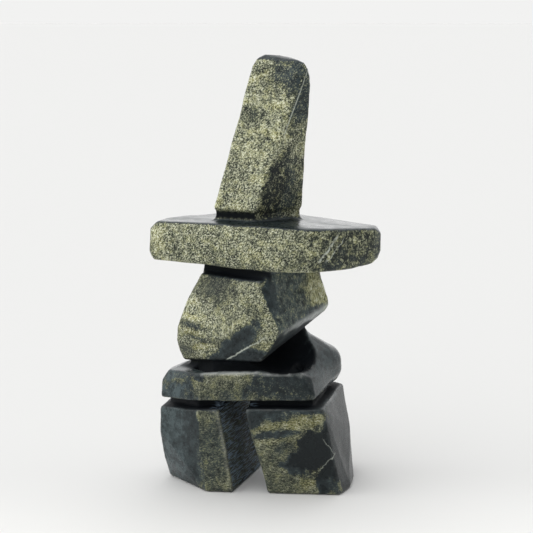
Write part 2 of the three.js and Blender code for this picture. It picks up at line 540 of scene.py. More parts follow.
def settle(stone: Carving, points: np.ndarray, marks: bool, rounds: int, most: float) -> np.ndarray:
    """Moves points onto the surface.

    Formula: p - f * g / |g|^2, repeated, with each move held under `most` mm.

    Args:
        stone: The field.
        points: Positions near the surface.
        marks: Whether the rasp strokes are part of the surface.
        rounds: Number of moves.
        most: Longest move, mm.

    Returns:
        Positions on the surface.
    """
    for _ in range(rounds):
        gradient = slope(stone, points, marks)
        length = np.maximum((gradient ** 2).sum(1), 0.05)
        move = gradient * (stone(points, marks) / length)[:, None]
        size = np.linalg.norm(move, axis=1, keepdims=True)
        points = points - move * np.minimum(1.0, most / np.maximum(size, 1e-9))
    return points


# ------------------------------------------------------------------ markings of the stone

class Side(Enum):
    """Which faces a marking lies on."""

    ANY = "any"
    FRONT = "front"
    RIGHT = "right"
    LEFT = "left"


def facing(normals: np.ndarray) -> dict[Side, np.ndarray]:
    """How far each point's face looks each way, from its normal's sideways part.

    Args:
        normals: Unit normals.

    Returns:
        Shares from 0 to 1 for each side.
    """
    right = ramp(normals[:, 0], 0.05, 0.3)
    return {Side.ANY: np.ones(len(normals)), Side.FRONT: 1.0 - right, Side.RIGHT: right,
            Side.LEFT: ramp(-normals[:, 0], 0.5, 0.65)}


@dataclass(frozen=True)
class Patch:
    """A soft egg-shaped region of the block, with the level that a marking takes there."""

    middle: Point           # mm
    radii: Point            # mm, across, deep and high
    level: float
    soft: float = 0.4       # share of the radius over which it fades
    turn: float = 0.0       # degrees, turned against the clock as seen from the front
    side: Side = Side.ANY

    def weight(self, points: np.ndarray, ragged: np.ndarray) -> np.ndarray:
        """How fully the patch covers each point.

        Formula: 1 - ramp(|q / radii| + ragged, 1 - soft, 1 + soft), with q measured from the
        middle and turned about the front-to-back axis.

        Args:
            points: Positions, mm.
            ragged: Small offsets that fray the border, one per point.

        Returns:
            Weights from 0 to 1.
        """
        x, y, z = (points - np.array(self.middle)).T
        c, s = math.cos(math.radians(self.turn)), math.sin(math.radians(self.turn))
        turned = np.stack([c * x + s * z, y, c * z - s * x], axis=1)
        reach = np.linalg.norm(turned / np.array(self.radii), axis=1)
        return fall(reach + ragged, 1.0 - self.soft, 1.0 + self.soft)


def paint(base: np.ndarray, patches: tuple[Patch, ...], points: np.ndarray,
          ragged: np.ndarray, sides: dict[Side, np.ndarray]) -> np.ndarray:
    """Lays patches over a base level, one after the other.

    Args:
        base: Level before any patch.
        patches: The patches, in order.
        points: Positions, mm.
        ragged: Border offsets.
        sides: How far each point belongs to each side.

    Returns:
        The level at each point.
    """
    level = base.copy()
    for patch in patches:
        cover = patch.weight(points, ragged) * sides[patch.side]
        level += cover * (patch.level - level)
    return level


FLECK_PATCHES = (           # share of pale flecks: 1 is the full grain, 0 is plain dark stone
    Patch((11.8, 0, 211.0), (9, 16, 9), 0.62, 0.8, 0, Side.FRONT),          # crown
    Patch((-7.5, -1, 191), (4.0, 12, 4.5), 0.8, 0.6, 35),
    Patch((12, -2, 178), (30, 30, 42), 1.0, 0.2, 0, Side.RIGHT),           # head, right side
    Patch((17.0, 0, 199), (8.0, 14, 17), 0.62, 0.35, -10, Side.RIGHT),      # below its ridge
    Patch((9.0, -4, 152.0), (12.0, 14, 18.0), 0.7, 0.3, 0, Side.RIGHT),     # and at its foot
    Patch((3.8, -7, 152.5), (6.0, 12, 18.0), 0.74, 0.3, -16, Side.RIGHT),
    Patch((4.0, -2, 135.5), (20, 12, 2.2), 0.5, 0.3),                       # collar under the head
    Patch((40, -14, 124), (22, 22, 14), 0.82, 0.4),                         # arm slab, right half
    Patch((57.0, 0, 124.4), (3.5, 12, 10.0), 0.72, 0.5),                    # arm slab, right end
    Patch((-26.0, -13, 106), (13.7, 12, 5.4), 0.8, 0.8, 0, Side.FRONT),    # body, upper left
    Patch((-27.0, -15, 101), (6.8, 12, 3.4), 0.8, 0.8, 0, Side.FRONT),
    Patch((-38.1, -8, 83.3), (7.9, 12, 1.7), 0.72, 0.7, -8),                # bands at its left
    Patch((-33.9, -10, 77.5), (8.9, 12, 1.3), 0.72, 0.7, -10),
    Patch((-40.8, -6, 70.3), (4.4, 12, 3.0), 0.8, 0.7),
    Patch((-15.0, -22, 76.5), (13.5, 12, 3.6), 0.1, 0.8, 45, Side.FRONT),  # streak to its foot
    Patch((-15.4, -22, 69.0), (12.6, 12, 2.9), 0.1, 0.6, 8, Side.FRONT),
    Patch((-6.0, -22, 71.0), (6.0, 12, 3.6), 0.04, 0.3, 0, Side.FRONT),
    Patch((-0.8, -22, 76.5), (5.3, 12, 2.4), 0.85, 0.4, 15, Side.FRONT),
    Patch((13.0, -8, 92), (60, 30, 30), 0.72, 0.1, 0, Side.RIGHT),          # body, right side
    Patch((1.0, -20, 99.0), (4.0, 12, 11.5), 0.2, 0.35, 0, Side.RIGHT),
    Patch((26.1, 5, 99.0), (7.0, 16, 12.0), 1.0, 0.5, 20, Side.RIGHT),
    Patch((19.7, -3, 84.5), (12, 14, 4.0), 0.1, 0.4, 33, Side.RIGHT),
    Patch((-49.4, -12, 52.8), (6.9, 12, 7.4), 0.78, 0.5),                   # hip slab, left end
    Patch((14.0, -26, 57.2), (21.0, 12, 8.2), 0.46, 0.35),                  # right half of its front
    Patch((6.3, -27, 53.2), (12.6, 12, 2.9), 0.62, 0.5),
    Patch((-34.2, -20, 59.4), (2.6, 8, 1.6), 0.0, 0.4),                     # small dark spot
    Patch((34.0, 0, 62), (13, 34, 19), 0.0, 0.2, 0, Side.RIGHT),            # its right shoulder
    Patch((24, 5, 72), (14, 20, 9), 0.0, 0.3),
    Patch((9, 0, 72), (24, 14, 12), 0.0, 0.3),                              # scooped hollow
    Patch((-47.7, -10, 23.1), (20, 36, 30), 0.04, 0.2, 0, Side.LEFT),       # left leg's outer side
    Patch((-39.5, -20, 22.0), (4.2, 10, 30), 0.08, 0.5),
    Patch((-27, -23, 22), (9, 8, 24), 0.76, 0.5, 0, Side.FRONT),            # and its front
    Patch((-2.3, -28, 42.3), (13.0, 12, 3.4), 0.3, 0.6, -5),               # right leg, inner top
    Patch((-7.3, -28, 38.7), (4.3, 12, 3.8), 0.12, 0.35),
    Patch((4.3, -29, 31.2), (12.5, 12, 1.7), 0.4, 0.4, 6),
    Patch((18.3, -28, 43.4), (11.5, 12, 1.2), 0.35, 0.4),
    Patch((26.5, -30, 24.0), (11.0, 12, 8.6), 0.0, 0.14),                   # black patch below
    Patch((17.2, -30, 17.0), (9.2, 12, 5.6), 0.0, 0.16, 15),
    Patch((33.0, -30, 29.5), (6.5, 12, 7.5), 0.0, 0.14),
    Patch((35.0, -30, 17.4), (6.0, 12, 9.0), 0.0, 0.14),
    Patch((15.5, -30, 12.4), (3.4, 12, 1.9), 0.5, 0.4),
    Patch((28.6, -30, 5.9), (2.9, 12, 6.7), 0.02, 0.3),
    Patch((41.5, 0, 23.0), (20, 40, 34), 0.03, 0.1, 0, Side.RIGHT),         # its outer side
    Patch((36.3, -27, 3.9), (4.4, 12, 4.2), 0.65, 0.4, 0, Side.FRONT),
)
DIM_PATCHES = (             # where the flecks lie under dark stone and look duller
    Patch((-26.0, -13, 105), (15.0, 12, 8.5), 0.42, 0.8, 0, Side.FRONT),
    Patch((-38.1, -8, 83.3), (9.0, 12, 2.2), 0.55, 0.7, -8),
    Patch((-33.9, -10, 77.5), (10.0, 12, 1.8), 0.55, 0.7, -10),
    Patch((-37.0, -8, 72.0), (12.0, 12, 7.0), 0.62, 0.7),
    Patch((-13.0, -22, 76.0), (17.0, 12, 7.0), 0.68, 0.8, 40, Side.FRONT),
    Patch((11.8, 0, 211.0), (11, 16, 10), 0.65, 0.9, 0, Side.FRONT),
    Patch((-8.0, -2, 190), (7.0, 12, 7.0), 0.85, 0.9, 35),
)
SHEEN_PATCHES = (         # painted sheen along the body's lower right edge, brightest at its tip
    Patch((17.0, -9, 84.9), (14, 20, 1.7), 0.3, 0.6, 20, Side.RIGHT),
    Patch((28.0, 3, 88.3), (7.5, 12, 2.0), 0.4, 0.8, 24, Side.RIGHT),
)
EDGE_PATCHES = (            # how pale the polished edges are: painted highlights
    Patch((20.0, -1.5, 82.8), (13, 16, 1.7), 0.5, 0.5, 27),  # body, lower right edge
    Patch((28.6, 7, 87.0), (6.0, 10, 2.6), 0.95, 0.5, 30),
    Patch((-6.0, -24.5, 61.5), (27, 3.5, 1.2), 0.38, 0.5),   # hip slab, front rim of its top
    Patch((-21.0, -24, 24), (3.2, 6, 20), 0.14, 0.6, 16),        # edge of the leg gap
)
YELLOW_PATCHES = (          # yellow-green lichen-like haze that brightens the flecks
    Patch((-4.8, 0, 208.8), (7.5, 12, 1.3), 0.9, 0.5, 25),
    Patch((-9.8, 0, 196.8), (3.0, 12, 1.5), 0.7, 0.5),
    Patch((4.3, -1, 194.9), (6.0, 12, 2.2), 0.7, 0.5),
    Patch((-2.3, -2, 181.9), (3.5, 12, 2.0), 0.7, 0.5),
    Patch((6.8, -3, 179.4), (4.0, 12, 2.5), 0.8, 0.5),
    Patch((-8.3, -3, 170.4), (6.5, 12, 4.5), 0.35, 0.6),
    Patch((-3.8, -4, 157.8), (4.5, 12, 2.0), 0.7, 0.5),
    Patch((-25.1, -2, 147.4), (2.5, 12, 4.5), 0.8, 0.5),
    Patch((-15.5, -4, 143.5), (4.5, 12, 2.0), 0.6, 0.5),
    Patch((-55.8, -3, 126.5), (3.0, 12, 6.9), 0.7, 0.5),
    Patch((-10.8, -10, 134.7), (4.9, 12, 1.5), 0.6, 0.5),
    Patch((-4.8, -18, 121.2), (4.9, 12, 2.4), 0.6, 0.5),
    Patch((-38.0, -8, 94.8), (3.5, 12, 2.0), 0.7, 0.5),
    Patch((-39.1, -6, 87.6), (5.9, 12, 1.7), 1.0, 0.5, -10),
    Patch((-37.6, -8, 79.7), (8.4, 12, 1.6), 1.0, 0.5, -10),
    Patch((-31.8, -12, 73.7), (5.9, 12, 2.0), 1.0, 0.5, 10),
    Patch((-1.3, -22, 76.0), (6.3, 12, 2.4), 0.5, 0.5, 15),
    Patch((-38.7, -20, 56.4), (4.9, 12, 5.3), 0.6, 0.5),
    Patch((17.3, -29, 37.9), (12.0, 12, 3.8), 1.0, 0.4, 8),
    Patch((1.3, -28, 35.1), (9.1, 12, 1.6), 1.0, 0.4, 8),
    Patch((5.3, -29, 28.1), (11.5, 12, 1.4), 0.6, 0.5, 8),
    Patch((20.0, -30, 6.4), (3.8, 12, 2.9), 1.0, 0.45),
    Patch((40.2, -20, 5.9), (2.9, 12, 6.3), 0.5, 0.5),
    Patch((26.1, 5, 99.0), (6.0, 16, 11.0), 0.7, 0.5, 20, Side.RIGHT),
)
HAZE_PATCHES = (            # grey cloudiness of the plain dark stone: 0 is black
    Patch((13.0, -8, 92), (60, 30, 30), 0.75, 0.1, 0, Side.RIGHT),
    Patch((1.0, -20, 99.0), (4.0, 12, 11.5), 0.3, 0.4, 0, Side.RIGHT),
    Patch((12.1, 0, 102), (3.5, 14, 6.0), 1.0, 0.5, 0, Side.RIGHT),
    Patch((3.8, -7, 152.5), (6.0, 12, 18.0), 0.12, 0.3, -16, Side.RIGHT),
    Patch((18, -2, 212), (8, 16, 8), 0.6, 0.5),
    Patch((-47.7, -10, 23.1), (9.8, 26, 27.5), 0.62, 0.3),
    Patch((-39.5, -20, 22), (2.5, 8, 22), 0.3, 0.4),
    Patch((-49.4, -12, 52.8), (8, 12, 8), 0.72, 0.4),
    Patch((11.8, -26, 56.8), (20.2, 12, 8.2), 0.18, 0.35),
    Patch((33, 0, 62), (13, 32, 16), 0.45, 0.3),
    Patch((43, 0, 23.0), (7, 30, 30.9), 0.12, 0.2),
    Patch((26, -30, 22), (14, 12, 14), 0.02, 0.2, 0, Side.FRONT),
    Patch((38, -14, 124), (22, 22, 14), 0.3, 0.3),
)
COARSE_PATCHES = (          # where dark and pale gather in blots several millimetres wide
    Patch((38, -14, 124), (22, 22, 14), 1.0, 0.3),
    Patch((3.8, -7, 152.5), (7.0, 12, 18.0), 0.7, 0.3, -16, Side.RIGHT),
    Patch((13, -8, 92), (60, 30, 30), 0.45, 0.1, 0, Side.RIGHT),
    Patch((-2, -2, 185), (12, 12, 14), 0.5, 0.5),
)
STROKE_PATCHES = (          # 1 where the grain is drawn out level, -1 where it is upright
    Patch((0, -25, 20), (60, 40, 26), 1.0, 0.1),
    Patch((0, -25, 55), (60, 40, 8), -0.35, 0.3),
    Patch((-15, -22, 80), (12, 12, 10), -1.0, 0.4),
    Patch((13, -8, 92), (60, 30, 30), -1.0, 0.1, 0, Side.RIGHT),
)
TONES = ((0.0, 0.52), (30.0, 0.51), (42.0, 0.47), (60.0, 0.44), (68.0, 0.84), (112.0, 0.84), (116.0, 0.88),
         (136.0, 0.88), (141.0, 1.0), (220.0, 1.0))     # height, brightness of the flecks: darker low down, partly the stone's own colour, partly painted shade
GRAINS = ((0.0, 0.88), (44.0, 0.88), (50.0, 0.9), (62.0, 0.9), (66.0, 1.0), (220.0, 1.0))
                                        # height, usual share of flecks

FRAY = Swell(0.13, 7.0, 41)                 # frays the borders of the patches
FINE_FRAY = Swell(0.09, 3.2, 42, 9)
DRIFT = Swell(1.0, 13.0, 43, 8)             # slow change of grain and brightness
FINE_DRIFT = Swell(0.7, 5.5, 44, 10)
BACK_CLOUDS = Swell(0.08, 34.0, 46, 8)      # paler and darker areas of the back
SWEPT = Swell(1.0, 3.4, 45, 9)              # polishing streaks in the hollow, where its painted shade is thinner

# how close a surface is to the named volume: wholly at the first distance, not at the second, mm
NECK_NEAR = (0.3, 1.9)
WALL_NEAR = (0.8, 3.4)
FLOOR_NEAR = (0.3, 0.9)
HOLLOW_NEAR = (0.6, 1.3)
BODY_NEAR = (0.3, 0.8)
BODY_CLEAR = (0.6, 1.2)

# part of the unit normal over which a face starts to count as turned that way
BACKWARD = (0.2, 0.6)
UPWARD = (0.45, 0.8)
DOWNWARD = (0.3, 0.5)

# bend of an edge, per mm, over which it starts to look pale: edge wear and painted highlight
PALE_EDGE_BEND = (0.35, 1.3)
HIGHLIGHT_BEND = (0.12, 0.5)

# heights of the grooves between the parts
UNDER_HEAD = Band(136.9, 137.9, 140.6, 141.8)
UNDER_ARMS = Band(104.0, 106.5, 118.5, 119.5)
UNDER_BODY = Band(60.2, 61.4, 84.0, 90.0)
BODY_UNDERSIDE = Band(60.0, 62.0, 82.0, 92.0)
HIP_GROOVE_RISE = (38.0, 41.0)
HIP_GROOVE_END = (49.0, 51.5)


class Zone(Enum):
    """Point attributes that tell the stone's finish, its painted shade and its painted highlights where
    they are.
    """

    FLECKS = "fleck_share"
    TONE = "fleck_tone"
    YELLOW = "yellow_haze"
    HAZE = "grey_haze"
    COARSE = "coarse_grain"
    LEVEL = "level_grain"
    UPRIGHT = "upright_grain"
    # painted shade: near-black colour in the grooves, necks and scooped hollow
    GROOVE_SHADE = "undercut"
    RASP = "rasped"
    # pale edges: wear, painted highlights and painted sheen
    EDGE = "edge_wear_and_highlight"


@dataclass
class StoneFigure:
    """The carved block: meshes the field and marks where each kind of surface is."""

    step: float = 1.2              # grid spacing of the surface, mm
    quick_step: float = 1.9
    coarse: int = 4                 # fine steps to one coarse step
    batch: int = 60000              # points worked out at a time
    strokes: int = 2                # cuts per edge where the rasp strokes are
    feeler: float = 4.5             # reach outwards that finds the other wall of a groove, mm
    sweep: Point = (0.73, 0.3, 0.61)    # way along which the hollow was polished
    edge_pale: float = 0.13         # paleness of the sharpest edges elsewhere: edge wear and painted highlight
    name: str = "carved_serpentine"
    stone: Carving = field(default_factory=Carving)

    def sample(self, step: float) -> tuple[np.ndarray, np.ndarray]:
        """Samples the field on a box grid around the figure.

        The field is first sampled `coarse` times wider apart; only points whose nearest wide
        sample is close to the surface are then worked out exactly.

        Args:
            step: Grid spacing, mm.

        Returns:
            Field samples (nx, ny, nz) and the first sample's position.
        """
        origin = self.stone.low - 3.0 * step
        wide = self.coarse * step
        cells = np.ceil((self.stone.high + 3.0 * step - origin) / wide).astype(int)
        rough = self._grid(origin + 0.5 * (wide - step), wide, cells)
        values = rough
        for axis in range(3):
            values = np.repeat(values, self.coarse, axis=axis)
        near = np.argwhere(np.abs(values) < 0.9 * wide + 0.8)
        for part in np.array_split(near, max(1, len(near) // self.batch)):
            values[tuple(part.T)] = self.stone(origin + step * part)
        return values, origin

    def _grid(self, origin: np.ndarray, step: float, counts: np.ndarray) -> np.ndarray:
        """Field samples on a whole box grid.

        Args:
            origin: Position of the first sample.
            step: Spacing.
            counts: Number of samples along each axis.

        Returns:
            Samples, (nx, ny, nz).
        """
        places = np.indices(tuple(counts)).reshape(3, -1).T
        parts = np.array_split(places, max(1, len(places) // self.batch))
        return np.concatenate([self.stone(origin + step * part) for part in parts]).reshape(tuple(counts))

    def refine(self, points: np.ndarray, quads: np.ndarray) -> tuple[np.ndarray, list[list[int]]]:
        """Cuts the quads of the rasped walls finer.

        Args:
            points: Vertex positions.
            quads: Faces.

        Returns:
            New positions and faces.
        """
        plain = bpy.data.meshes.new("before_strokes")
        plain.from_pydata(points.tolist(), [], quads.tolist())
        ends = np.empty(2 * len(plain.edges), np.int32)
        plain.edges.foreach_get("vertices", ends)
        rasped = self.stone.rasp_zone(points) > 0.02
        marked = rasped[ends].reshape(-1, 2).all(1)
        mesh = bmesh.new()
        mesh.from_mesh(plain)
        mesh.edges.ensure_lookup_table()
        edges = [mesh.edges[i] for i in np.flatnonzero(marked)]
        bmesh.ops.subdivide_edges(mesh, edges=edges, cuts=self.strokes, use_grid_fill=True)
        bmesh.ops.triangulate(mesh, faces=[f for f in mesh.faces if len(f.verts) > 4])
        mesh.to_mesh(plain)
        mesh.free()
        spots = np.empty(3 * len(plain.vertices), np.float32)
        plain.vertices.foreach_get("co", spots)
        faces = [list(face.vertices) for face in plain.polygons]
        bpy.data.meshes.remove(plain)
        return spots.reshape(-1, 3).astype(float), faces

    def bend(self, points: np.ndarray, normals: np.ndarray, reach: float = 1.3) -> np.ndarray:
        """How sharply the surface turns outwards.

        Formula: the sum of the field at six points around, along and across the normal, over
        reach squared, which is the field's Laplacian.

        Args:
            points: Vertex positions.
            normals: Unit normals.
            reach: Distance to the six points, mm.

        Returns:
            Curvature, per mm.
        """
        side = np.cross(normals, (0.3, 0.5, 0.8))
        side /= np.maximum(np.linalg.norm(side, axis=1, keepdims=True), 1e-6)
        other = np.cross(normals, side)
        ways = (normals, -normals, side, -side, other, -other)
        return sum(self.stone(points + reach * way) for way in ways) / (reach * reach)

    def undercut(self, points: np.ndarray, normals: np.ndarray) -> np.ndarray:
        """Where painted shade darkens the grooves, necks and the scooped hollow to near black.

        Args:
            points: Vertex positions.
            normals: Unit normals.

        Returns:
            Strength from 0 to 1.
        """
        x, y, z = points.T
        spots = self.stone.waver(points)
        near = {name: fall(self.stone.parts[name](spots), *NECK_NEAR) for name in
                ("head_neck", "arm_neck", "body_neck", "left_hip_neck", "right_hip_neck")}
        # a feeler along the normal meets the other wall of a groove
        shut = fall(self.stone(points + self.feeler * normals), *WALL_NEAR)
        head = near["head_neck"] * UNDER_HEAD(z) * (1.0 - 0.85 * facing(normals)[Side.RIGHT])
        # the groove under the arm slab ends near the middle of the front and runs on behind
        arm = np.maximum(near["arm_neck"], shut) * UNDER_ARMS(z)
        arm *= np.maximum(fall(x + 0.1 * y, -0.5, 1.5), ramp(y, 4.0, 8.0))
        low = np.maximum(near["left_hip_neck"], near["right_hip_neck"])
        low = np.maximum(low, shut * ramp(z, *HIP_GROOVE_RISE)) * fall(z, *HIP_GROOVE_END)
        middle = np.maximum(near["body_neck"], shut) * UNDER_BODY(z)
        clear = ramp(self.stone.parts["body"](spots), *BODY_CLEAR)
        floor = fall(self.stone.parts["floor_cut"](spots), *FLOOR_NEAR) * clear
        scooped = fall(self.stone.gouge(spots), *HOLLOW_NEAR) * clear
        # the painted shade is thinner in long streaks, along the sweep of the hollow's polish
        sweep = np.array(self.sweep)
        flat = spots - 0.88 * (spots @ sweep)[:, None] * sweep
        scooped *= 1.0 - 0.62 * ramp(SWEPT(flat), 0.2, 1.2)
        # painted shade on the body's underside
        under = ramp(-normals[:, 2], *DOWNWARD) * BODY_UNDERSIDE(z)
        return np.max([head, arm, low, middle, floor, scooped, 0.85 * under], axis=0)

    def zones(self, points: np.ndarray, normals: np.ndarray) -> dict[Zone, np.ndarray]:
        """Strength of each zone at the vertices.

        Args:
            points: Vertex positions.
            normals: Unit normals there.

        Returns:
            Values from 0 to 1 for each zone.
        """
        ragged = FRAY(points) + FINE_FRAY(points)
        drift = DRIFT(points * (1.0, 1.0, 0.8)) + FINE_DRIFT(points)
        z = points[:, 2]
        grains = np.interp(z, *zip(*GRAINS)) + 0.05 * drift
        behind = ramp(normals[:, 1], *BACKWARD)
        grains += behind * (BACK_CLOUDS(points) + 0.06 * drift - 0.08)
        top = ramp(normals[:, 2], *UPWARD)
        sides = facing(normals)
        flecks = paint(grains, FLECK_PATCHES, points, ragged, sides)
        flecks *= 1.0 - top * (0.8 - 0.1 * drift)
        shares = np.clip(flecks, 0.0, 1.0)
        none = np.zeros(len(z))
        yellow = paint(none, YELLOW_PATCHES, points, 1.6 * ragged, sides)
        # flecks darker low down: partly the stone's own colour, partly painted shade
        tone = np.interp(z, *zip(*TONES)) * (1.0 + 0.05 * drift) * (1.0 - 0.14 * behind)
        tone *= paint(np.ones(len(z)), DIM_PATCHES, points, ragged, sides)
        stroke = paint(none, STROKE_PATCHES, points, ragged, sides)
        haze = paint(0.1 + 0.5 * shares, HAZE_PATCHES, points, ragged, sides)
        bend = self.bend(points, normals)
        # painted highlights on the polished edges in EDGE_PATCHES
        wear_and_highlight = paint(none, EDGE_PATCHES, points, ragged, sides) * ramp(bend, *HIGHLIGHT_BEND)
        on_body = fall(self.stone.parts["body"](self.stone.waver(points)), *BODY_NEAR)
        # painted sheen on the body's lower right edge
        painted_sheen = on_body * paint(none, SHEEN_PATCHES, points, 0.6 * ragged, sides)
        pale_edges = np.max([self.edge_pale * ramp(bend, *PALE_EDGE_BEND), wear_and_highlight, painted_sheen], axis=0)
        return {
            Zone.FLECKS: flecks,
            Zone.TONE: tone * (0.75 + 0.25 * shares),
            Zone.YELLOW: yellow,
            Zone.HAZE: haze,
            Zone.COARSE: paint(none, COARSE_PATCHES, points, ragged, sides),
            Zone.LEVEL: stroke,
            Zone.UPRIGHT: -stroke,
            Zone.GROOVE_SHADE: self.undercut(points, normals) * fall(pale_edges, 0.1, 0.3),
            Zone.RASP: self.stone.rasp_zone(points),
            Zone.EDGE: pale_edges,
        }

    def build(self) -> bpy.types.Object:
        """Makes the figure's mesh object, at the origin, in metres.

        Returns:
            The object, without a material.
        """
        step = self.step
        values, origin = self.sample(step)
        points, quads = surface_net(values, origin, step)
        points = settle(self.stone, points, False, 3, step)
        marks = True
        faces = quads.tolist()
        if marks:
            points, faces = self.refine(points, quads)
            points = settle(self.stone, points, True, 2, 0.5 * step)
        normals = slope(self.stone, points, marks)
        normals /= np.linalg.norm(normals, axis=1, keepdims=True)
        points[:, 2] = np.maximum(points[:, 2], 0.0)
        mesh = bpy.data.meshes.new(self.name)
        mesh.from_pydata(((points + self.stone.shift) * MM).tolist(), [], faces)
        mesh.update()
        mesh.polygons.foreach_set("use_smooth", np.ones(len(mesh.polygons), bool))
        for zone, strength in self.zones(points, normals).items():
            layer = mesh.attributes.new(zone.value, "FLOAT", "POINT")
            layer.data.foreach_set("value", np.clip(strength, 0.0, 1.0).astype(np.float32))
        mesh.normals_split_custom_set_from_vertices(normals.tolist())
        piece = bpy.data.objects.new(self.name, mesh)
        bpy.context.scene.collection.objects.link(piece)
        triangles = sum(len(f) - 2 for f in faces)
        LOG.info("%s: %d vertices, %d triangles", self.name, len(points), triangles)
        return piece


# ------------------------------------------------------------------ finishes

def linear(hex_colour: str) -> tuple[float, float, float, float]:
    """sRGB hex such as "a0b1c2" as linear RGBA."""
    parts = [int(hex_colour[i:i + 2], 16) / 255.0 for i in (0, 2, 4)]
    return (*[c / 12.92 if c <= 0.04045 else ((c + 0.055) / 1.055) ** 2.4 for c in parts], 1.0)


Value = float | tuple | bpy.types.NodeSocket


def add_node(tree: bpy.types.NodeTree, kind: str, inputs: dict[str | int, Value],
             output: str | int = 0, **settings: object) -> bpy.types.NodeSocket:
    """Adds a node with its settings and links.

    Args:
        tree: The node tree.
        kind: Node type, without its "ShaderNode".
        inputs: Numbers, colours or sockets by input name or number.
        output: Which output is wanted.
        settings: The node's own properties.

    Returns:
        The output socket, or the node where it has none.
    """
    node = tree.nodes.new("ShaderNode" + kind)
    for key, value in settings.items():
        setattr(node, key, value)
    for key, value in inputs.items():
        if isinstance(value, bpy.types.NodeSocket):
            tree.links.new(value, node.inputs[key])
        else:
            node.inputs[key].default_value = value
    return node.outputs[output] if node.outputs else node


def empty_material(name: str) -> tuple[bpy.types.Material, bpy.types.NodeTree]:
    """Makes a material without nodes.

    Args:
        name: Its name.

    Returns:
        The material and its node tree.
    """
    material = bpy.data.materials.new(name)
    material.use_nodes = True
    material.node_tree.nodes.clear()
    return material, material.node_tree


@dataclass(frozen=True)
class Vein:
    """A thin pale line between two ends, on a plane through the stone: a mineral vein, and once a painted
    highlight along a ridge.
    """

    start: Point
    end: Point
    facing: Point           # roughly the way the face it shows on looks
    width: float = 0.35     # mm
    strength: float = 0.7
    wander: float = 3.2     # how far it strays from its plane, mm


# pale mineral veins, and last a painted highlight along the head's ridge
VEINS_AND_RIDGE_HIGHLIGHT = (
    Vein((-20.5, -22, 68.2), (0.5, -25, 81.0), (-0.4, -0.9, 0.0), 0.38, 0.85),
    Vein((35.1, -20, 131.6), (25.6, -24, 118.6), (0.5, -0.86, 0.0), 0.42, 1.0),
    Vein((39.2, -18, 129.8), (29.1, -23, 118.5), (0.5, -0.86, 0.0), 0.28, 0.8),
    Vein((28.4, -30, 28.9), (34.5, -30, 21.1), (0.0, -1.0, 0.0), 0.2, 0.5),
    Vein((34.5, -30, 21.1), (27.0, -30, 13.2), (0.0, -1.0, 0.0), 0.22, 0.6),
    Vein((20.3, -3.0, 212.5), (8.4, -4.9, 180), (0.3, -0.95, 0.0), 0.28, 0.9, 0.5),  # painted highlight along the head's ridge
)


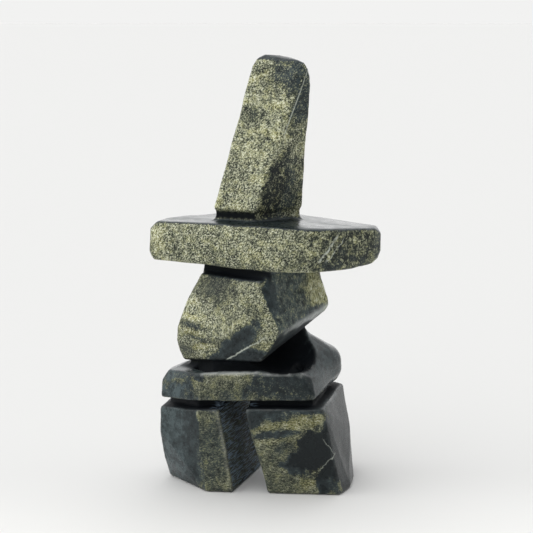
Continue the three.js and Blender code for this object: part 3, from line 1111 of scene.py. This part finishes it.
@dataclass(frozen=True)
class PolishedSerpentine:
    """Serpentine, ground with grit and polished: dark green-black stone full of pale flecks.

    Gives the eye a salt-and-pepper grain just under a millimetre long, near-black glossy patches
    without grain, hair-thin pale veins, and a soft sheen on the smoothest faces. It also carries
    painted shade in the grooves and painted highlights on some edges.
    """

    shift: Point                    # from the outline's axes to the object's, mm
    name: str = "serpentine_ground_and_polished"
    night: str = "0d1416"           # darkest mineral
    slate: str = "4a5658"           # cloudy blue-grey of the plain stone
    moss: str = "53594a"            # cloudy olive between the flecks
    sage: str = "a9ac8e"            # usual fleck
    bone: str = "e4e6d2"            # palest fleck
    straw: str = "aba968"           # yellow-green fleck
    shade_black: str = "03080f"            # painted shade: near-black floor of the undercuts
    # pale veins, and the painted highlight along the head's ridge
    vein: str = "c2c8bc"
    dust: str = "788a9b"            # rasp dust in the strokes
    wear_and_highlight: str = "dfe2de"          # pale edges: wear, and painted highlights on polished edges
    fleck_mm: float = 0.8           # length of a fleck
    usual_level: tuple[float, float] = (0.745, 0.875)   # grain heights where usual flecks begin
    palest_level: tuple[float, float] = (0.835, 0.955)  # and the palest
    drift_mm: float = 3.5           # size of yellower and darker clouds
    pit_mm: float = 0.1             # height of the deepest pits, before their strength of 0.3
    ior: float = 1.56
    shine: float = 0.19             # specular level: a waxed, not a wet polish
    polish: float = 0.21            # roughness of the smooth dark stone
    ground: float = 0.42            # roughness of the grainy stone

    def make(self) -> bpy.types.Material:
        """Builds the material.

        Returns:
            The material.
        """
        material, tree = empty_material(self.name)
        place = add_node(tree, "TexCoord", {}, "Object")
        mm = add_node(tree, "Mapping", {"Vector": place, "Scale": (1.0 / MM,) * 3})
        zone = {z: add_node(tree, "Attribute", {}, "Fac", attribute_name=z.value) for z in Zone}
        grain = self._grain(tree, mm, zone)
        drift = add_node(tree, "TexNoise", {"Vector": mm, "Scale": 1.0 / self.drift_mm, "Detail": 3.0,
                                            "Roughness": 0.6})
        # more flecks show where the share is high; the yellow haze gathers them
        more = grain
        for cause, gain in ((zone[Zone.FLECKS], 0.25), (zone[Zone.YELLOW], 0.05), (drift, 0.13)):
            more = add_node(tree, "Math", {0: cause, 1: gain, 2: more}, operation="MULTIPLY_ADD")
        pale, palest = (add_node(tree, "MapRange", {"Value": more, "From Min": low, "From Max": high},
                                 interpolation_type="SMOOTHSTEP")
                        for low, high in (self.usual_level, self.palest_level))
        # flecks hidden under the painted shade and in the rasp strokes
        hide = add_node(tree, "MapRange", {"Value": zone[Zone.GROOVE_SHADE], "From Min": 0.3, "From Max": 0.8,
                                           "To Min": 1.0, "To Max": 0.0})
        unrasped = add_node(tree, "Math", {0: 1.0, 1: zone[Zone.RASP]}, operation="SUBTRACT")
        hide = add_node(tree, "Math", {0: hide, 1: unrasped}, operation="MULTIPLY")
        shown = add_node(tree, "Math", {0: pale, 1: hide}, operation="MULTIPLY")

        cloudy = add_node(tree, "MapRange", {"Value": drift, "From Min": 0.3, "From Max": 0.7,
                                             "To Min": 0.2, "To Max": 1.7})
        cloudy = add_node(tree, "Math", {0: cloudy, 1: zone[Zone.HAZE]}, operation="MULTIPLY")
        mottled = add_node(tree, "MapRange", {"Value": grain, "From Min": 0.36, "From Max": 0.66,
                                              "To Min": 0.25, "To Max": 2.0})
        cloudy = add_node(tree, "Math", {0: cloudy, 1: mottled}, operation="MULTIPLY")
        mossy = add_node(tree, "MapRange", {"Value": zone[Zone.FLECKS], "From Min": 0.7, "From Max": 0.85})
        cloud = add_node(tree, "Mix", {"Factor": mossy, 6: linear(self.slate), 7: linear(self.moss)},
                         2, data_type="RGBA")
        base = add_node(tree, "Mix", {"Factor": cloudy, 6: linear(self.night), 7: cloud},
                        2, data_type="RGBA")
        patchy = add_node(tree, "MapRange", {"Value": drift, "From Min": 0.47, "From Max": 0.68,
                                             "To Max": 0.7})
        yellow = add_node(tree, "Math", {0: zone[Zone.YELLOW], 1: patchy}, operation="MAXIMUM")
        usual = add_node(tree, "Mix", {"Factor": yellow, 6: linear(self.sage), 7: linear(self.straw)},
                         2, data_type="RGBA")
        fleck = add_node(tree, "Mix", {"Factor": palest, 6: usual, 7: linear(self.bone)},
                         2, data_type="RGBA")
        fleck = add_node(tree, "VectorMath", {0: fleck, "Scale": zone[Zone.TONE]}, operation="SCALE")
        colour = add_node(tree, "Mix", {"Factor": shown, 6: base, 7: fleck}, 2, data_type="RGBA")
        # pale veins, and the painted highlight along the head's ridge
        for vein in VEINS_AND_RIDGE_HIGHLIGHT:
            mask = self._vein_mask(tree, mm, vein, drift)
            colour = add_node(tree, "Mix", {"Factor": mask, 6: colour, 7: linear(self.vein)},
                              2, data_type="RGBA")
        # strength of the painted shade in the grooves
        shade_cover = add_node(tree, "Math", {0: zone[Zone.GROOVE_SHADE], 1: 0.96}, operation="MULTIPLY")
        strokes = self._strokes(tree, mm)
        dusty = add_node(tree, "MapRange", {"Value": strokes, "From Min": 0.46, "From Max": 0.62,
                                            "To Max": 0.85}, interpolation_type="SMOOTHSTEP")
        dusty = add_node(tree, "Math", {0: dusty, 1: zone[Zone.RASP]}, operation="MULTIPLY")
        # pale edges (wear and painted highlights), painted shade in the grooves, then rasp dust
        for mask, tint in ((zone[Zone.EDGE], self.wear_and_highlight), (shade_cover, self.shade_black), (dusty, self.dust)):
            colour = add_node(tree, "Mix", {"Factor": mask, 6: colour, 7: linear(tint)},
                              2, data_type="RGBA")
        shader = add_node(tree, "BsdfPrincipled", {
            "Base Color": colour, "Roughness": self._roughness(tree, zone, drift),
            "Normal": self._bump(tree, zone, grain, strokes), "IOR": self.ior, "Metallic": 0.0,
            "Specular IOR Level": self.shine})
        add_node(tree, "OutputMaterial", {"Surface": shader})
        return material

    def _grain(self, tree: bpy.types.NodeTree, mm: bpy.types.NodeSocket,
               zone: dict[Zone, bpy.types.NodeSocket]) -> bpy.types.NodeSocket:
        """Grain height: two crossing fleck noises, drawn out or coarsened where the zones say.

        Args:
            tree: The node tree.
            mm: Position in mm.
            zone: The zones' strengths.

        Returns:
            Height, around 0.5.
        """
        size = 1.0 / self.fleck_mm
        one = add_node(tree, "TexNoise", {"Vector": mm, "Scale": size, "Detail": 3.0,
                                          "Roughness": 0.68, "Distortion": 0.4})
        turned = add_node(tree, "Mapping", {"Vector": mm, "Rotation": (0.0, -0.65, 0.0),
                                            "Scale": (1.6, 1.0, 0.75)}, vector_type="TEXTURE")
        two = add_node(tree, "TexNoise", {"Vector": turned, "Scale": 1.25 * size, "Detail": 2.0,
                                          "Roughness": 0.55, "Distortion": 0.3})
        grain = add_node(tree, "Mix", {"Factor": 0.45, 2: one, 3: two}, 0, data_type="FLOAT")
        for name, stretch in ((Zone.LEVEL, (0.6, 1.0, 1.7)), (Zone.UPRIGHT, (1.5, 1.2, 0.4))):
            drawn = add_node(tree, "Mapping", {"Vector": mm, "Scale": stretch})
            fine = add_node(tree, "TexNoise", {"Vector": drawn, "Scale": size, "Detail": 3.0,
                                               "Roughness": 0.7, "Distortion": 0.9})
            much = add_node(tree, "Math", {0: zone[name], 1: 0.6}, operation="MULTIPLY")
            grain = add_node(tree, "Mix", {"Factor": much, 2: grain, 3: fine}, 0, data_type="FLOAT")
        blots = add_node(tree, "TexNoise", {"Vector": mm, "Scale": 0.42 * size, "Detail": 3.0,
                                            "Roughness": 0.6, "Distortion": 0.7})
        much = add_node(tree, "Math", {0: zone[Zone.COARSE], 1: 0.55}, operation="MULTIPLY")
        return add_node(tree, "Mix", {"Factor": much, 2: grain, 3: blots}, 0, data_type="FLOAT")

    def _strokes(self, tree: bpy.types.NodeTree, mm: bpy.types.NodeSocket) -> bpy.types.NodeSocket:
        """Dust caught by the rasp strokes, drawn out along the gap.

        Args:
            tree: The node tree.
            mm: Position in mm.

        Returns:
            Strength, around 0.5.
        """
        along = add_node(tree, "Mapping", {"Vector": mm, "Rotation": (0.12, 0.0, -0.34),
                                           "Scale": (0.09, 0.07, 1.0)})
        return add_node(tree, "TexNoise", {"Vector": along, "Scale": 1.9, "Detail": 2.0,
                                           "Roughness": 0.6, "Distortion": 0.1})

    def _roughness(self, tree: bpy.types.NodeTree, zone: dict[Zone, bpy.types.NodeSocket],
                   drift: bpy.types.NodeSocket) -> bpy.types.NodeSocket:
        """Smooth where plain, duller where grainy, dull in the undercuts and rasp strokes.

        Args:
            tree: The node tree.
            zone: The zones' strengths.
            drift: Slow noise.

        Returns:
            Roughness.
        """
        rough = add_node(tree, "MapRange", {"Value": zone[Zone.FLECKS], "From Min": 0.1,
                                            "From Max": 0.9, "To Min": self.polish, "To Max": self.ground})
        for cause, gain in ((drift, 0.12), (zone[Zone.RASP], 0.25), (zone[Zone.GROOVE_SHADE], 0.4)):
            rough = add_node(tree, "Math", {0: cause, 1: gain, 2: rough}, operation="MULTIPLY_ADD")
        return rough

    def _bump(self, tree: bpy.types.NodeTree, zone: dict[Zone, bpy.types.NodeSocket],
              grain: bpy.types.NodeSocket, strokes: bpy.types.NodeSocket) -> bpy.types.NodeSocket:
        """Pits of the grain, a few hundredths of a millimetre deep, and the fine rasp scratches.

        Args:
            tree: The node tree.
            zone: The zones' strengths.
            grain: Grain height.
            strokes: Rasp dust.

        Returns:
            The normal.
        """
        pits = add_node(tree, "Math", {0: grain, 1: zone[Zone.FLECKS]}, operation="MULTIPLY")
        scratch = add_node(tree, "Math", {0: strokes, 1: zone[Zone.RASP]}, operation="MULTIPLY")
        height = add_node(tree, "Math", {0: scratch, 1: 1.6, 2: pits}, operation="MULTIPLY_ADD")
        return add_node(tree, "Bump", {"Height": height, "Strength": 0.3, "Distance": self.pit_mm * MM})

    def _vein_mask(self, tree: bpy.types.NodeTree, mm: bpy.types.NodeSocket, vein: Vein,
                   drift: bpy.types.NodeSocket) -> bpy.types.NodeSocket:
        """Mask of one vein: near its plane, between its two ends and near the surface it shows on.

        Args:
            tree: The node tree.
            mm: Position in mm.
            vein: The vein.
            drift: Noise that makes it wander.

        Returns:
            Mask from 0 to the vein's strength.
        """
        start, end = np.array(vein.start) + self.shift, np.array(vein.end) + self.shift
        along = end - start
        length = float(np.linalg.norm(along))
        along /= length
        outward = np.array(vein.facing) / np.linalg.norm(vein.facing)
        across = np.cross(along, outward)
        across /= np.linalg.norm(across)
        mask = None
        fades = ((across, vein.wander, vein.width * 1.6, vein.width * 0.3, 0.0),
                 (along, 0.0, length / 2.0 + 1.0, length / 2.0 - 1.5, length / 2.0),
                 (outward, 0.0, 6.0, 4.0, 0.0))     # way, wander, outer, inner, middle
        for way, wander, outer, inner, middle in fades:
            reach = add_node(tree, "VectorMath", {0: mm, 1: tuple(way)}, "Value", operation="DOT_PRODUCT")
            off = -(float(start @ way) + middle + 0.5 * wander)
            bent = add_node(tree, "Math", {0: drift, 1: wander, 2: off}, operation="MULTIPLY_ADD")
            far = add_node(tree, "Math", {0: reach, 1: bent}, operation="ADD")
            far = add_node(tree, "Math", {0: far}, operation="ABSOLUTE")
            fade = add_node(tree, "MapRange", {"Value": far, "From Min": inner, "From Max": outer,
                                               "To Min": 1.0, "To Max": 0.0})
            mask = fade if mask is None else add_node(tree, "Math", {0: mask, 1: fade},
                                                      operation="MULTIPLY")
        uneven = add_node(tree, "MapRange", {"Value": drift, "From Min": 0.35, "From Max": 0.6,
                                             "To Min": 0.4 * vein.strength, "To Max": vein.strength})
        return add_node(tree, "Math", {0: mask, 1: uneven}, operation="MULTIPLY")


@dataclass(frozen=True)
class MattPaper:
    """Matt backdrop paper, off-white, with painted light making it a little paler in front of the figure.
    """

    name: str = "backdrop_paper_matt"
    pale: str = "d5d5d4"
    # painted light: the paper's colour in front of the figure
    front: str = "e3e3e1"

    def make(self) -> bpy.types.Material:
        """Builds the material.

        Returns:
            The material.
        """
        material, tree = empty_material(self.name)
        place = add_node(tree, "TexCoord", {}, "Object")
        y = add_node(tree, "SeparateXYZ", {0: place}, "Y")
        # painted light: a paler patch of paper in front of the figure
        near = add_node(tree, "MapRange", {"Value": y, "From Min": 0.02, "From Max": -0.14},
                        interpolation_type="SMOOTHSTEP")
        away = add_node(tree, "VectorMath", {0: place}, "Value", operation="LENGTH")
        local = add_node(tree, "MapRange", {"Value": away, "From Min": 1.0, "From Max": 0.4},
                         interpolation_type="SMOOTHSTEP")
        near = add_node(tree, "Math", {0: near, 1: local}, operation="MULTIPLY")
        colour = add_node(tree, "Mix", {"Factor": near, 6: linear(self.pale), 7: linear(self.front)},
                          2, data_type="RGBA")
        shader = add_node(tree, "BsdfPrincipled", {"Base Color": colour, "Roughness": 0.9,
                                                   "Specular IOR Level": 0.0})
        add_node(tree, "OutputMaterial", {"Surface": shader})
        return material


# ------------------------------------------------------------------ studio

@dataclass
class Studio:
    """Wide pale table, soft light from all round and the camera."""

    shift: Point                    # from the outline's axes to the object's, mm
    table_radius: float = 14.0
    rings: int = 14
    sectors: int = 64
    backdrop: str = "f2f2f1"
    eye_back: float = 0.8           # metres in front of the figure
    eye_up: float = 0.249
    tilt: float = 9.7               # degrees below level
    lens_mm: float = 106.92

    def table(self) -> bpy.types.Object:
        """Table top: rings of points at growing radii, joined by quads.

        Formula: (r cos t, r sin t, 0) with r from 0.02 m to the table's radius, and the middle
        closed by one small face.

        Returns:
            The table's object.
        """
        radii = np.geomspace(0.02, self.table_radius, self.rings)
        turns = np.linspace(0.0, 2.0 * math.pi, self.sectors, endpoint=False)
        r, t = np.meshgrid(radii, turns, indexing="ij")
        grid = np.stack([r * np.cos(t), r * np.sin(t), np.zeros_like(r)], axis=2).reshape(-1, 3)
        i, j = np.meshgrid(np.arange(len(radii) - 1), np.arange(len(turns)), indexing="ij")
        inner, outer = i * self.sectors, (i + 1) * self.sectors
        onward = (j + 1) % self.sectors
        quads = np.stack([inner + j, outer + j, outer + onward, inner + onward], axis=2).reshape(-1, 4)
        mesh = bpy.data.meshes.new("table_top")
        mesh.from_pydata(grid.tolist(), [], quads.tolist() + [list(range(self.sectors))])
        mesh.update()
        mesh.materials.append(MattPaper().make())
        table = bpy.data.objects.new("table_top", mesh)
        bpy.context.scene.collection.objects.link(table)
        return table

    def light(self, name: str, aim: Point, strength: float, spread: float) -> None:
        """Adds one even soft light from far off.

        Args:
            name: Its name.
            aim: Direction from the figure to the light.
            strength: Power, W per square metre.
            spread: Width of the light as seen from the figure, degrees.
        """
        lamp = bpy.data.lights.new(name, "SUN")
        lamp.energy = strength
        lamp.angle = math.radians(spread)
        item = bpy.data.objects.new(name, lamp)
        flat = math.hypot(aim[0], aim[1])
        item.location = aim
        item.rotation_euler = (math.atan2(flat, aim[2]), 0.0, math.atan2(aim[0], -aim[1]))
        bpy.context.scene.collection.objects.link(item)

    def room(self) -> None:
        """Walls of the room: pale to the eye, brighter behind and above the figure than in front."""
        world = bpy.data.worlds.new("soft_room")
        bpy.context.scene.world = world
        world.use_nodes = True
        tree = world.node_tree
        tree.nodes.clear()
        way = add_node(tree, "TexCoord", {}, "Generated")
        y = add_node(tree, "SeparateXYZ", {0: way}, "Y")
        z = add_node(tree, "SeparateXYZ", {0: way}, "Z")
        back = add_node(tree, "MapRange", {"Value": y, "From Min": -0.5, "From Max": 0.97,
                                           "To Min": 0.1, "To Max": 1.9})
        up = add_node(tree, "MapRange", {"Value": z, "From Min": 0.2, "From Max": 0.9, "To Max": 0.25})
        level = add_node(tree, "Math", {0: back, 1: up}, operation="ADD")
        x = add_node(tree, "SeparateXYZ", {0: way}, "X")
        shade = add_node(tree, "MapRange", {"Value": x, "From Min": 0.1, "From Max": 0.9,
                                            "To Min": 1.0, "To Max": 0.68})
        level = add_node(tree, "Math", {0: level, 1: shade}, operation="MULTIPLY")
        glow = add_node(tree, "Background", {"Color": linear("ffffff"), "Strength": level})
        seen = add_node(tree, "Background", {"Color": linear(self.backdrop), "Strength": 1.0})
        direct = add_node(tree, "LightPath", {}, "Is Camera Ray")
        mix = add_node(tree, "MixShader", {0: direct, 1: glow, 2: seen})
        add_node(tree, "OutputWorld", {"Surface": mix})

    def camera(self) -> None:
        """Camera slightly above the figure, looking down at it."""
        lens = bpy.data.cameras.new("view")
        lens.sensor_width = 36.0
        lens.lens = self.lens_mm
        lens.clip_start = 0.05
        item = bpy.data.objects.new("view", lens)
        item.location = (self.shift[0] * MM, self.shift[1] * MM - self.eye_back, self.eye_up)
        item.rotation_euler = (math.radians(90.0 - self.tilt), 0.0, 0.0)
        bpy.context.scene.collection.objects.link(item)
        bpy.context.scene.camera = item

    def build(self) -> None:
        """Sets everything up."""
        self.table()
        self.camera()
        self.room()
        self.light("window", (-0.75, -0.75, 0.85), 1.8, 85.0)
        self.light("ceiling", (0.1, 0.25, 1.0), 0.3, 80.0)
        bpy.context.scene.view_settings.view_transform = "Standard"
        LOG.info("studio ready")


def main() -> None:
    """Builds the figure and the studio, in order, and reports each."""
    logging.basicConfig(level=logging.INFO, format="%(name)s: %(message)s")
    figure = StoneFigure()
    shift = tuple(float(v) for v in figure.stone.shift)
    piece = figure.build()
    piece.data.materials.append(PolishedSerpentine(shift).make())
    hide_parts("carved_stone")
    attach(piece, "root")
    Studio(shift).build()


if __name__ == "__main__":
    main()
